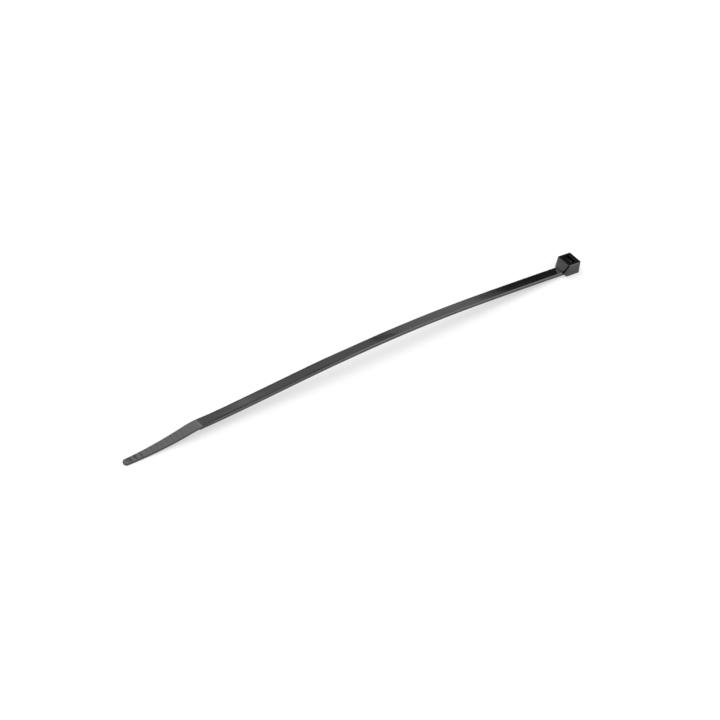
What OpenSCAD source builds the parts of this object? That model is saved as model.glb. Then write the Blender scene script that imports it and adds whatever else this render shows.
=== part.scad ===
// Cable tie, 200 x 4.6 mm, moulded in one piece.
// X runs along the strap towards the head, Y across it, Z up. The tie lies on z = 0
// on the tip of its tail and the heel of its head, with the strap arched between them,
// as it comes out of the bag. The origin is at the middle of that footprint.

/* [Strap] */
// Length along the strap, from the tip of the tail to the back of the head
overall_length = 200; // [120:1:380]
// Width of the strap
strap_width = 4.6; // [3.6:0.1:7.6]
// Thickness of the strap over the rails of the rack
strap_thickness = 1.2; // [1:0.05:1.8]
// Width and drop of the bevel along each top edge
edge_bevel = 0.42; // [0.2:0.01:0.6]
// Width of the fine groove between the bevel and the flat top, on the tail's half
edge_line = 0.45; // [0.1:0.01:0.5]
// Depth of the fine groove
line_depth = 0.26; // [0.08:0.01:0.3]
// Length of the fine groove, from the tail to where it has run out
line_length = 68; // [20:1:150]

/* [Rack] */
// Pitch of the teeth under the strap
tooth_pitch = 1.3; // [0.9:0.05:2]
// Depth of a tooth, from its crest to its root
tooth_depth = 0.4; // [0.2:0.05:0.5]
// How far the crests stand back from the rails
tooth_recess = 0.1; // [0.05:0.01:0.2]
// Width of the smooth rail on each side of the rack
rail_width = 0.6; // [0.4:0.05:1]
// Plain strap between the tail and the first tooth
rack_lead = 2.5; // [1:0.1:6]
// Plain strap between the last tooth and the head
plain_neck = 13; // [6:0.5:30]

/* [Tail] */
// Length of the thin tail, up to the step where the rack's rails begin
tail_length = 30.5; // [20:0.5:50]
// Width of the rounded tip
tip_width = 2.8; // [1.6:0.1:3.4]
// How far the tail's underside stands above the rails
tail_lift = 0.35; // [0.2:0.01:0.5]
// Pitch of the grip ribs across the tail
rib_pitch = 2.1; // [1.4:0.1:3.5]
// Width of the groove between two ribs
rib_groove = 0.5; // [0.3:0.05:0.9]
// Depth of the groove between two ribs
rib_depth = 0.07; // [0.05:0.01:0.2]
// Length over which the bevels run in behind the tail
bevel_run = 6.5; // [3:0.5:12]

/* [Head] */
// Depth of the head along the strap
head_depth = 7.7; // [7.4:0.1:9]
// Height of the head over the strap's underside, measured square to the strap
head_height = 4.8; // [4.2:0.05:6.5]
// Wall on each side of the slot
cheek = 1.15; // [0.9:0.05:2]
// Height of the upright lip over the strap, where the strap enters the head
lip_face = 0.35; // [0.2:0.05:0.8]
// Depth and rise of the small ledge over the lip
lip_ledge = 0.25; // [0.1:0.05:0.5]
// How far the lip stands out on each side of the strap
lip_overhang = 0.35; // [0.2:0.05:0.7]
// Depth over which the head widens behind the lip
front_taper = 1.9; // [1.4:0.05:2.4]
// How far the top of the head stands back from the lip
brow_setback = 1.65; // [1.2:0.05:1.8]
// How far the base of the head stands back from the lip
base_setback = 1.1; // [0.8:0.05:1.8]
// Width of the bevel on the two leaning front edges
cheek_bevel = 1.1; // [0.3:0.05:1.4]
// Radius of the two upright back edges
back_radius = 1; // [0.5:0.05:1.6]
// Bevel around the top of the head
top_bevel = 0.2; // [0.1:0.05:0.4]
// How far the base of the head stands below the strap's underside
base_drop = 0.1; // [0.05:0.05:0.3]
// Bevel around the base of the head
base_bevel = 0.12; // [0.05:0.01:0.2]
// Length of the eased heel that the head rests on, at the back of its base
heel_length = 0.7; // [0.4:0.05:1]

/* [Slot and pawl] */
// Clearance over the strap's thickness in the slot
slot_clearance = 0.45; // [0.25:0.05:0.6]
// Clearance on each side of the strap in the slot
side_clearance = 0.2; // [0.1:0.05:0.4]
// Wall in front of the pawl's pocket, at the top
front_wall = 1.35; // [0.9:0.05:1.5]
// Thickness of the pawl
pawl_thickness = 0.95; // [0.7:0.05:1.2]
// Gap behind the pawl, so that it can bend away
pawl_gap = 0.45; // [0.3:0.05:0.7]
// Gap on each side of the pawl
pawl_side_gap = 0.3; // [0.2:0.05:0.5]
// Height of the pawl's hinge above the base
hinge_height = 1.35; // [0.9:0.05:1.6]
// How far the tip of the pawl stays below the top
pawl_drop = 0.15; // [0.05:0.05:0.8]
// Reach of the pawl's teeth into the slot
pawl_tooth = 0.32; // [0.2:0.02:0.4]

/* [Resting curve] */
// Slope of the tail at its tip, in degrees
tip_slope = -0.5; // [-2:0.5:2]
// Slope of the tail just before its bend
bend_slope = 11.5; // [4:0.5:15]
// Length of the bend between the tail and the strap
bend_length = 5.5; // [4:0.5:8]
// Slope of the strap just after the bend
start_slope = 0.9; // [0:0.1:2]
// Steepest slope of the arch on the tail's side
rise_slope = 3.4; // [1:0.1:5]
// Slope of the strap where it enters the head
fall_slope = -5.5; // [-7:0.1:-2]

/* [Hidden] */
fine = 0.02;                                     // overlap that joins two shapes
past = 1;                                        // how far a cutter runs past what it cuts
bend_step = 0.5;                                 // spacing of the outline's points in the bend
strap_step = 3;                                  // their spacing along the strap
tip_round = 0.45;                                // rounding at the very end of the tip
step_run = 0.2;                                  // half the length of the step behind the tail
rack_ramp = 0.3;                                 // slope at the start of the rack
mouth = 0.5;                                     // flare of the slot at the base
pawl_root = 0.3;                                 // how far the pawl runs down into its hinge
pawl_ease = 0.1;                                 // eased corner at the tip of the pawl
bend_start = tail_length - 0.7 * bend_length;
strap_length = overall_length - head_depth;
plain_start = tail_length + bevel_run;           // the full section starts here
body_length = strap_length - bend_start - bend_length;
root_depth = 0.3 * head_depth;                   // how far the strap runs into the head
station_count = ceil((strap_length - plain_start) / strap_step);

// The resting curve, as rows of [distance from the tip, slope there]. Between two
// rows the slope changes evenly, so each stretch is an arc tangent to the next.
resting = [
    [0, tip_slope],
    [bend_start, bend_slope],
    [bend_start + bend_length, start_slope],
    [bend_start + bend_length + 0.10 * body_length, (start_slope + 4 * rise_slope) / 5],
    [bend_start + bend_length + 0.25 * body_length, rise_slope],
    [bend_start + bend_length + 0.50 * body_length, 0],
    [bend_start + bend_length + 0.75 * body_length, 0.8 * fall_slope],
    [strap_length, fall_slope],
];

// Run and rise of an arc of length s whose slope goes from a to b
function arc_step(s, a, b) = abs(b - a) < 0.0001
    ? [s * cos(a), s * sin(a)]
    : let (r = s / ((b - a) * PI / 180)) [r * (sin(b) - sin(a)), r * (cos(a) - cos(b))];

// [x, z, slope] at distance s along a curve; past its end the curve runs on straight
function along(curve, s, i = 0, x = 0, z = 0) =
    let (last = i == len(curve) - 2,
         span = curve[i + 1][0] - curve[i][0],
         t = s - curve[i][0],
         a = curve[i][1],
         b = curve[i + 1][1])
    t <= span || last
        ? (t <= span
            ? let (c = a + (b - a) * t / span, d = arc_step(t, a, c)) [x + d[0], z + d[1], c]
            : let (d = arc_step(span, a, b), e = arc_step(t - span, b, b))
                [x + d[0] + e[0], z + d[1] + e[1], b])
        : let (d = arc_step(span, a, b)) along(curve, s, i + 1, x + d[0], z + d[1]);

// Point at distance s along the curve and height v above the strap's underside
function lift(p, v) = [p[0] - v * sin(p[2]), p[1] + v * cos(p[2])];

// The whole tie leans until the tail and the heel of the head both touch the table
tail_touch = lift(along(resting, 1), tail_lift);
head_touch = lift(along(resting, overall_length - base_bevel - heel_length), -base_drop);
lean = -atan2(head_touch[1] - tail_touch[1], head_touch[0] - tail_touch[0]);
curve = [for (row = resting) [row[0], row[1] + lean]];
place_x = -lift(along(curve, overall_length), head_height - top_bevel)[0] / 2;
place_z = -lift(along(curve, 1), tail_lift)[1];
function at(s, v) = lift(along(curve, s), v) + [place_x, place_z];
function slope(s) = along(curve, s)[2];

// Distances at which the strap's outline takes a point: close together in the bend
stations = concat(
    [for (s = [bend_start + bend_step : bend_step : plain_start - 0.8 * bend_step]) s],
    [for (i = [0 : station_count]) plain_start + i * (strap_length - plain_start) / station_count]);

// Rack
rack_width = strap_width - 2 * rail_width;
rack_start = tail_length + rack_lead;
tooth_count = floor((strap_length - plain_neck - rack_start) / tooth_pitch);

// Tail
rib_first = 3.5;
rib_count = floor((bend_start + 1 - rib_first) / rib_pitch);

// Head, measured from the lip along the strap
slot_width = strap_width + 2 * side_clearance;
head_width = slot_width + 2 * cheek;
lip_width = strap_width + 2 * lip_overhang;
lip_height = strap_thickness + lip_face;
ledge_height = lip_height + 0.7 * lip_ledge;
pocket_front = brow_setback + front_wall;
pawl_front = pocket_front + pawl_gap;
slot_front = pawl_front + pawl_thickness;
slot_back = slot_front + strap_thickness + slot_clearance;
pawl_width = rack_width - 0.2;
pawl_top = head_height - pawl_drop;
heel_rise = -base_drop - heel_length * tan(slope(strap_length));

black = [0.10, 0.10, 0.11];

// Side view of the strap and its tail, all in one outline. The tail has a groove
// between each two ribs, above and below, and the strap runs on into the head.
module strap_side() {
    t = strap_thickness;
    ribs = [for (i = [0 : rib_count - 1]) rib_first + i * rib_pitch];
    tip_top = [at(0, tail_lift + 0.7 * tip_round), at(0, t - 0.7 * tip_round),
        at(0.3 * tip_round, t - 0.2 * tip_round), at(tip_round, t)];
    ribs_top = [
        for (s = ribs) each [
            at(s - 0.5 * rib_groove, t),
            at(s - 0.25 * rib_groove, t - rib_depth),
            at(s + 0.25 * rib_groove, t - rib_depth),
            at(s + 0.5 * rib_groove, t),
        ]
    ];
    top = [for (s = stations) at(s, t)];
    inside_head = [at(strap_length + root_depth, t), at(strap_length + root_depth, 0)];
    under = [
        for (i = [len(stations) - 1 : -1 : 0])
            if (stations[i] > tail_length + 1.5 * step_run) at(stations[i], 0)
    ];
    step = [at(tail_length + step_run, 0), at(tail_length, 0.35 * tail_lift),
        at(tail_length - step_run, tail_lift)];
    tail_under = [
        for (i = [len(stations) - 1 : -1 : 0])
            if (stations[i] < tail_length - 1.5 * step_run) at(stations[i], tail_lift)
    ];
    ribs_under = [
        for (i = [len(ribs) - 1 : -1 : 0]) each [
            at(ribs[i] + 0.5 * rib_groove, tail_lift),
            at(ribs[i] + 0.25 * rib_groove, tail_lift + rib_depth),
            at(ribs[i] - 0.25 * rib_groove, tail_lift + rib_depth),
            at(ribs[i] - 0.5 * rib_groove, tail_lift),
        ]
    ];
    tip_under = [at(tip_round, tail_lift), at(0.3 * tip_round, tail_lift + 0.2 * tip_round)];
    polygon(concat(tip_top, ribs_top, top, inside_head, under, step, tail_under,
        ribs_under, tip_under));
}

// Outline of the strap from above: the tail widens from its round tip
module strap_plan() {
    tip = at(0, 0)[0];
    r = tip_width / 2;
    w = strap_width / 2;
    wide = at(bend_start, 0)[0];
    end = at(strap_length + root_depth, 0)[0] + strap_width;
    translate([tip + r, 0]) circle(r, $fn = 64);
    polygon([[tip + r, -r], [wide, -w], [end, -w], [end, w], [wide, w], [tip + r, r]]);
}

// What the mould takes off one top edge: the bevel, which runs in behind the tail, and
// the fine groove beside it, which runs out again along the strap
module edge_cut() {
    t = strap_thickness;
    w = strap_width / 2;
    run_out = line_length / 5;
    line_end = tail_length + line_length;
    function grown(s) = min(1, (s - tail_length) / bevel_run) - 0.03;
    function left(s) = max(0.1, min(grown(s), (line_end - s) / run_out));
    function ring(s) =
        let (g = grown(s), l = left(s) * edge_line, d = left(s) * line_depth, b = g * edge_bevel + 0.6 * l)
        [
            [w - b, t + past],
            [w - b, t],
            [w - b + 0.15 * l, t - d],
            [w - b + 0.85 * l, t - d],
            [w - b + l, t - 0.02 * g],
            [w + past, t - b + l - past],
            [w + past, t + past],
        ];
    rings = concat(
        [for (s = stations) if (s > tail_length) s],
        [strap_length + root_depth + past]);
    points = [for (s = rings) each [for (q = ring(s)) let (c = at(s, q[1])) [c[0], q[0], c[1]]]];
    n = 7;
    last = len(rings) - 1;
    faces = concat(
        [[for (k = [0 : n - 1]) k]],
        [for (i = [0 : last - 1], k = [0 : n - 1])
            [i * n + k, (i + 1) * n + k, (i + 1) * n + (k + 1) % n, i * n + (k + 1) % n]],
        [[for (k = [n - 1 : -1 : 0]) last * n + k]]);
    polyhedron(points, faces);
}

// The space between the teeth, cut from under the strap between its two rails
module rack_cut() {
    crest = tooth_recess;
    root = tooth_recess + tooth_depth;
    teeth = [
        for (i = [0 : tooth_count - 1]) each [
            at(rack_start + i * tooth_pitch, root),
            at(rack_start + (i + 0.82) * tooth_pitch, crest),
            at(rack_start + (i + 0.94) * tooth_pitch, crest),
        ]
    ];
    rack_end = rack_start + tooth_count * tooth_pitch;
    below = [for (i = [tooth_count : -4 : 0]) at(rack_start + i * tooth_pitch, -past)];
    rotate([90, 0, 0])
        linear_extrude(rack_width, center = true)
            polygon(concat(teeth, [at(rack_end, root), at(rack_end, -past)], below,
                [at(rack_start - rack_ramp, -past), at(rack_start - rack_ramp, -fine)]));
}

// The strap with its rack and its tail
module strap() {
    difference() {
        intersection() {
            rotate([90, 0, 0])
                linear_extrude(strap_width + 2 * past, center = true) strap_side();
            translate([0, 0, -past]) linear_extrude(overall_length / 3) strap_plan();
        }
        edge_cut();
        mirror([0, 1, 0]) edge_cut();
        rack_cut();
    }
}

// Side view of the head: x is the distance from the lip, y is square to the strap. The
// heel is level with the table, although the rest of the base leans.
module head_side() {
    polygon([
        [base_setback, -base_drop],
        [0, strap_thickness - 0.05],
        [0, lip_height],
        [lip_ledge, ledge_height],
        [brow_setback, head_height],
        [head_depth - top_bevel, head_height],
        [head_depth, head_height - top_bevel],
        [head_depth, heel_rise + base_bevel],
        [head_depth - base_bevel, heel_rise],
        [head_depth - base_bevel - heel_length, -base_drop],
    ]);
}

// Outline of the head from above: it widens behind the lip, and its back corners are round
module head_plan() {
    r = back_radius;
    w = head_width / 2;
    half = [[-past, lip_width / 2], [0, lip_width / 2], [front_taper, w], [head_depth - r, w],
        [head_depth - r, w - r], [head_depth, w - r]];
    polygon(concat(half, [for (i = [len(half) - 1 : -1 : 0]) [half[i][0], -half[i][1]]]));
    for (side = [-1, 1])
        translate([head_depth - r, side * (w - r)]) circle(r, $fn = 64);
}

// Front view of the head: x is across, y is square to the strap
module head_front() {
    w = head_width / 2;
    half = [
        [w - base_bevel, -base_drop],
        [w, base_bevel - base_drop],
        [w, head_height - top_bevel],
        [w - top_bevel, head_height],
    ];
    polygon(concat(half, [for (i = [len(half) - 1 : -1 : 0]) [-half[i][0], half[i][1]]]));
}

// Cutter of the bevel on one leaning edge, where the sloped front meets the tapered side.
// Its face looks between the two, a little more to the front.
module cheek_bevel_cut() {
    widening = (head_width - lip_width) / 2 / front_taper;
    front = [ledge_height - head_height, 0, brow_setback - lip_ledge];
    side = [-widening, -1, 0];
    facing = 1.8 * front / norm(front) + side / norm(side);
    out = facing / norm(facing);
    to_front = acos(out * front / norm(front));
    to_side = acos(out * side / norm(side));
    reach = cheek_bevel / (1 / tan(to_front) + 1 / tan(to_side));
    corner = [lip_ledge, -lip_width / 2 - widening * lip_ledge, ledge_height];
    translate(corner - reach * out)
        rotate([0, -asin(out[2]), atan2(out[1], out[0])])
            translate([0, -head_height, -head_height]) cube(2 * head_height);
}

// The slot for the tail, with its flared mouth, and the pocket around the pawl
module slot_cut() {
    rotate([90, 0, 0]) {
        linear_extrude(slot_width, center = true)
            polygon([
                [slot_front - 0.6 * mouth, -past],
                [slot_front - 0.6 * mouth, -base_drop],
                [slot_front, mouth - base_drop],
                [slot_front, head_height + past],
                [slot_back, head_height + past],
                [slot_back, 1.8 * mouth - base_drop],
                [slot_back + mouth, -base_drop],
                [slot_back + mouth, -past],
            ]);
        linear_extrude(pawl_width + 2 * pawl_side_gap, center = true)
            polygon([
                [pocket_front, hinge_height],
                [pocket_front, head_height + past],
                [slot_front + fine, head_height + past],
                [slot_front + fine, hinge_height],
            ]);
    }
}

// The pawl: a springy finger on a hinge at its foot, with the teeth towards the slot
module pawl() {
    low = pawl_top - 1.75 * tooth_pitch;
    teeth = [
        for (i = [0 : 1]) each [
            [slot_front, low + i * tooth_pitch],
            [slot_front + pawl_tooth, low + (i + 0.7) * tooth_pitch],
            [slot_front, low + (i + 0.75) * tooth_pitch],
        ]
    ];
    rotate([90, 0, 0])
        linear_extrude(pawl_width, center = true)
            polygon(concat(
                [[pawl_front - pawl_ease, hinge_height - pawl_root],
                 [slot_front, hinge_height - pawl_root]],
                teeth,
                [[slot_front, pawl_top - pawl_ease], [slot_front - pawl_ease, pawl_top],
                 [pawl_front + 2.5 * pawl_ease, pawl_top],
                 [pawl_front + pawl_ease, pawl_top - 2 * pawl_ease]]));
}

// The head, square to the end of the strap
module head() {
    end = at(strap_length, 0);
    translate([end[0], 0, end[1]])
        rotate([0, -slope(strap_length), 0]) {
            difference() {
                intersection() {
                    rotate([90, 0, 0])
                        linear_extrude(head_width + 2 * past, center = true) head_side();
                    translate([0, 0, -past]) linear_extrude(head_height + 2 * past) head_plan();
                    translate([-past, 0, 0]) rotate([90, 0, 90])
                        linear_extrude(head_depth + 2 * past) head_front();
                }
                cheek_bevel_cut();
                mirror([0, 1, 0]) cheek_bevel_cut();
                slot_cut();
            }
            pawl();
        }
}

module cable_tie() {
    color(black) {
        strap();
        head();
    }
}

cable_tie();
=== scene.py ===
"""Cable tie, 200 x 4.6 mm, in black nylon: its moulding, its finish, and the table it lies on."""
import math

import bmesh
import bpy
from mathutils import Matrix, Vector


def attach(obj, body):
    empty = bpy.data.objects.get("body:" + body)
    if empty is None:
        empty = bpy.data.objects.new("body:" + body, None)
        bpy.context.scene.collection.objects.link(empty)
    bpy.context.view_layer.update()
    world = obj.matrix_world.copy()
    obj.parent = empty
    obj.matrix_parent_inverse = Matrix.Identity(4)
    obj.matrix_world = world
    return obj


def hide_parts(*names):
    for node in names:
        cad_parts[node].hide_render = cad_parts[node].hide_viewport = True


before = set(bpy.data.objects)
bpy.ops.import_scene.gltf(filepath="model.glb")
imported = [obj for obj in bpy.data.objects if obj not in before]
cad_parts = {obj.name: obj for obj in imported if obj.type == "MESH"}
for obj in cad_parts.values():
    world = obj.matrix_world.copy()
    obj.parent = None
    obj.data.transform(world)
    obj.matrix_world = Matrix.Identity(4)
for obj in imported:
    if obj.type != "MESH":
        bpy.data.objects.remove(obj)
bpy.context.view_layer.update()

# Sizes are in metres, and angles in degrees, unless a line says otherwise
MM = 0.001

# Moulded edges, in millimetres, which is the scale that the shape is worked at
WELD = 0.02
STRAY = 0.001
LARGE_EASE = 0.05
FINE_EASE = 0.012
EASE_STEPS = 2
NARROW = 0.35

# How far the surface turns over an edge: up to the first it is flat, and from the others sharp or crisp
FLAT_WITHIN = 0.04
SHARP_FROM = 32.0
CRISP_FROM = 40.0

# How much a large face rules the shading beside it, out of 100
AREA_WEIGHT = 100

# Black nylon, with each pattern in waves per millimetre along X, Y and Z
NYLON_DARK = (0.0042, 0.0042, 0.0045, 1.0)
NYLON_PALE = (0.0065, 0.0065, 0.0070, 1.0)
NYLON_IOR = 1.64
NYLON_SMOOTH = 0.05
NYLON_WORN = 0.10
TINT_WAVES = (0.12, 0.5, 0.5)
WEAR_WAVES = (0.15, 0.9, 0.9)
SINK_WAVES = (0.09, 0.2, 0.2)
FLOW_WAVES = (0.06, 2.4, 2.4)
GRAIN_WAVES = (7.0, 7.0, 7.0)
SINK_DEPTH = 0.010 * MM
FLOW_DEPTH = 0.0006 * MM
GRAIN_DEPTH = 0.0003 * MM

# The part of a noise's range that it fills most of the time
NOISE_LOW = 0.3
NOISE_HIGH = 0.7

# The camera: turned from straight ahead of the tie and looking down, with its sensor and lens in millimetres
CAMERA_TURN = -33.82
CAMERA_RISE = 40.80
CAMERA_DISTANCE = 921.6 * MM
CAMERA_AIM = Vector((0.5, 0.4, 0.0)) * MM
CAMERA_SENSOR = 36.0
CAMERA_LENS = 125.0

# The table
TABLE_RADIUS = 20.0
TABLE_SIDES = 96
TABLE_WHITE = 0.97
TABLE_GLOW = 0.55

# The room
LAMP_DISTANCE = 1.6
ROOM_GREY = 0.04


def grey(level):
    """A grey as a colour."""
    return (level, level, level, 1)


def add_object(name, data):
    """A new object in the scene, at the origin."""
    made = bpy.data.objects.new(name, data)
    bpy.context.scene.collection.objects.link(made)
    return made


def new_material(name):
    """A new material, with its nodes and their links."""
    material = bpy.data.materials.new(name)
    material.use_nodes = True
    return material, material.node_tree.nodes, material.node_tree.links


# The moulding
def fold(edge):
    """How far the surface turns over an edge, in degrees."""
    return math.degrees(edge.calc_face_angle(0.0))


def narrow(face):
    """Whether a face is a thin strip, as in a groove or on the flank of a tooth."""
    width = face.calc_area() / max(edge.calc_length() for edge in face.edges)
    if len(face.verts) == 3:
        width *= 2
    return width < NARROW


def ease(shape, edges, radius):
    """Round some edges over."""
    bmesh.ops.bevel(
        shape,
        geom=edges,
        offset=radius,
        offset_type="OFFSET",
        segments=EASE_STEPS,
        profile=0.5,
        affect="EDGES",
        clamp_overlap=False,
        material=-1,
        loop_slide=True,
    )


def ease_moulded_edges(shape):
    """Ease each sharp edge: a little beside narrow strips, not at all inside a groove, more elsewhere."""
    fine = shape.edges.layers.int.new("fine")
    sharp = [edge for edge in shape.edges if len(edge.link_faces) == 2 and fold(edge) > SHARP_FROM]
    for edge in sharp:
        edge[fine] = int(fold(edge) > CRISP_FROM and any(narrow(face) for face in edge.link_faces))
        edge.smooth = edge.is_convex or not edge[fine]
    ease(shape, [edge for edge in sharp if not edge[fine]], LARGE_EASE)
    ease(shape, [edge for edge in shape.edges if edge[fine] and edge.is_convex], FINE_EASE)
    shape.edges.layers.int.remove(fine)


def moulded_shape(solid, name):
    """The solid's own shape with whole faces, and its sharp edges eased as a mould leaves them."""
    shape = bmesh.new()
    shape.from_mesh(solid)
    bmesh.ops.scale(shape, vec=Vector((1, 1, 1)) / MM, verts=shape.verts)
    bmesh.ops.remove_doubles(shape, verts=shape.verts, dist=WELD)
    bmesh.ops.dissolve_limit(
        shape,
        angle_limit=math.radians(FLAT_WITHIN),
        verts=shape.verts,
        edges=shape.edges,
        delimit=set(),
        use_dissolve_boundaries=False,
    )
    ease_moulded_edges(shape)
    bmesh.ops.remove_doubles(shape, verts=shape.verts, dist=STRAY)
    bmesh.ops.scale(shape, vec=Vector((MM, MM, MM)), verts=shape.verts)
    for face in shape.faces:
        face.smooth = True
    mesh = bpy.data.meshes.new(name)
    shape.to_mesh(mesh)
    shape.free()
    for shading in ("custom_normal", "sharp_face"):
        if shading in mesh.attributes:
            mesh.attributes.remove(mesh.attributes[shading])
    return mesh


# The finish
def mottle(nodes, links, place, name, waves, detail, low=0.0, high=1.0):
    """Soft noise between two values."""
    stretch = nodes.new("ShaderNodeMapping")
    stretch.label = name
    stretch.inputs["Scale"].default_value = [count / MM for count in waves]
    noise = nodes.new("ShaderNodeTexNoise")
    noise.inputs["Scale"].default_value = 1.0
    noise.inputs["Detail"].default_value = detail
    fitted = nodes.new("ShaderNodeMapRange")
    fitted.inputs["From Min"].default_value = NOISE_LOW
    fitted.inputs["From Max"].default_value = NOISE_HIGH
    fitted.inputs["To Min"].default_value = low
    fitted.inputs["To Max"].default_value = high
    links.new(place.outputs["Object"], stretch.inputs["Vector"])
    links.new(stretch.outputs["Vector"], noise.inputs["Vector"])
    links.new(noise.outputs["Fac"], fitted.inputs["Value"])
    return fitted.outputs["Result"]


def relief(nodes, links, height, depth, below=None):
    """A bump of a real depth, laid over the one before it."""
    bump = nodes.new("ShaderNodeBump")
    bump.inputs["Distance"].default_value = depth
    links.new(height, bump.inputs["Height"])
    if below is not None:
        links.new(below, bump.inputs["Normal"])
    return bump.outputs["Normal"]


def black_nylon():
    """Moulded black nylon: near black and satin, with sink waves, flow lines and a fine grain."""
    material, nodes, links = new_material("black_nylon")
    body = nodes["Principled BSDF"]
    body.inputs["IOR"].default_value = NYLON_IOR
    place = nodes.new("ShaderNodeTexCoord")

    cloud = mottle(nodes, links, place, "cloudy tint", TINT_WAVES, detail=3.0)
    tint = nodes.new("ShaderNodeMix")
    tint.data_type = "RGBA"
    tint.inputs["A"].default_value = NYLON_DARK
    tint.inputs["B"].default_value = NYLON_PALE
    links.new(cloud, tint.inputs["Factor"])
    links.new(tint.outputs["Result"], body.inputs["Base Color"])

    wear = mottle(
        nodes,
        links,
        place,
        "worn and smooth patches",
        WEAR_WAVES,
        detail=4.0,
        low=NYLON_SMOOTH,
        high=NYLON_WORN,
    )
    links.new(wear, body.inputs["Roughness"])

    sink = mottle(nodes, links, place, "sink waves", SINK_WAVES, detail=1.0)
    flow = mottle(nodes, links, place, "flow lines", FLOW_WAVES, detail=3.0)
    grain = mottle(nodes, links, place, "mould grain", GRAIN_WAVES, detail=2.0)
    skin = relief(nodes, links, sink, SINK_DEPTH)
    skin = relief(nodes, links, flow, FLOW_DEPTH, skin)
    skin = relief(nodes, links, grain, GRAIN_DEPTH, skin)
    links.new(skin, body.inputs["Normal"])
    return material


cad_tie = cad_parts["cable_tie"]
tie = add_object("tie", moulded_shape(cad_tie.data, "tie"))
tie.data.materials.append(black_nylon())
even = tie.modifiers.new("flat_faces", "WEIGHTED_NORMAL")
even.mode = "FACE_AREA"
even.weight = AREA_WEIGHT
even.keep_sharp = True
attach(tie, "root")
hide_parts("cable_tie")


# The table
def higher(nodes, links, first, second):
    """The higher of two values."""
    highest = nodes.new("ShaderNodeMath")
    highest.operation = "MAXIMUM"
    links.new(first, highest.inputs[0])
    links.new(second, highest.inputs[1])
    return highest.outputs[0]


def table_white():
    """White: about half of what is seen is the lit surface with its shadow, and the rest is plain white."""
    material, nodes, links = new_material("table_white")
    nodes.clear()
    surface = nodes.new("ShaderNodeBsdfDiffuse")
    surface.inputs["Color"].default_value = grey(TABLE_WHITE)
    glow = nodes.new("ShaderNodeEmission")
    glow.inputs["Strength"].default_value = 1.0

    path = nodes.new("ShaderNodeLightPath")
    seen = higher(nodes, links, path.outputs["Is Camera Ray"], path.outputs["Is Glossy Ray"])
    seen = higher(nodes, links, seen, path.outputs["Is Transmission Ray"])
    share = nodes.new("ShaderNodeMath")
    share.operation = "MULTIPLY"
    share.inputs[1].default_value = TABLE_GLOW
    links.new(seen, share.inputs[0])

    mix = nodes.new("ShaderNodeMixShader")
    links.new(share.outputs[0], mix.inputs["Fac"])
    links.new(surface.outputs["BSDF"], mix.inputs[1])
    links.new(glow.outputs["Emission"], mix.inputs[2])
    output = nodes.new("ShaderNodeOutputMaterial")
    links.new(mix.outputs["Shader"], output.inputs["Surface"])
    return material


def table():
    """A wide white table."""
    shape = bmesh.new()
    bmesh.ops.create_circle(shape, cap_ends=True, radius=TABLE_RADIUS, segments=TABLE_SIDES)
    mesh = bpy.data.meshes.new("table")
    shape.to_mesh(mesh)
    shape.free()
    mesh.materials.append(table_white())
    return add_object("table", mesh)


table()


# The lamps. A bearing turns from +Y towards +X, and a rise is a height over the table.
def towards(bearing, rise):
    """The direction of a bearing and a rise."""
    bearing, rise = math.radians(bearing), math.radians(rise)
    return Vector((math.sin(bearing) * math.cos(rise), math.cos(bearing) * math.cos(rise), math.sin(rise)))


def look_along(item, direction):
    """Turn a lamp or a camera so that it looks along a direction."""
    item.rotation_mode = "QUATERNION"
    item.rotation_quaternion = direction.to_track_quat("-Z", "Y")


def soft_lamp(name, bearing, rise, width, height, level):
    """A flat soft lamp that faces the tie. Its level is how bright it shows in a mirror, where 1 is white."""
    light = bpy.data.lights.new(name, "AREA")
    light.shape = "RECTANGLE"
    light.size = width
    light.size_y = height
    light.energy = level * math.pi * width * height
    lamp = add_object(name, light)
    out = towards(bearing, rise)
    lamp.location = out * LAMP_DISTANCE
    look_along(lamp, -out)
    lamp.visible_camera = False


soft_lamp("lamp_over", bearing=-7, rise=60, width=1.22, height=1.20, level=1.85)
soft_lamp("lamp_over_right", bearing=45.6, rise=52, width=0.98, height=0.60, level=0.85)
soft_lamp("lamp_back", bearing=40, rise=36.5, width=2.0, height=0.20, level=1.1)
soft_lamp("lamp_top", bearing=214, rise=79, width=1.9, height=1.9, level=2.0)
soft_lamp("lamp_front", bearing=150, rise=40, width=1.3, height=0.6, level=2.6)
soft_lamp("lamp_left", bearing=-52, rise=10.4, width=1.5, height=0.56, level=1.0)

world = bpy.data.worlds.new("studio")
world.use_nodes = True
world.node_tree.nodes["Background"].inputs["Color"].default_value = grey(ROOM_GREY)
bpy.context.scene.world = world

# The camera
camera = add_object("camera", bpy.data.cameras.new("camera"))
camera.data.sensor_width = CAMERA_SENSOR
camera.data.lens = CAMERA_LENS
sight = -towards(180 - CAMERA_TURN, CAMERA_RISE)
camera.location = CAMERA_AIM - sight * CAMERA_DISTANCE
look_along(camera, sight)
bpy.context.scene.camera = camera
bpy.context.scene.view_settings.view_transform = "Standard"
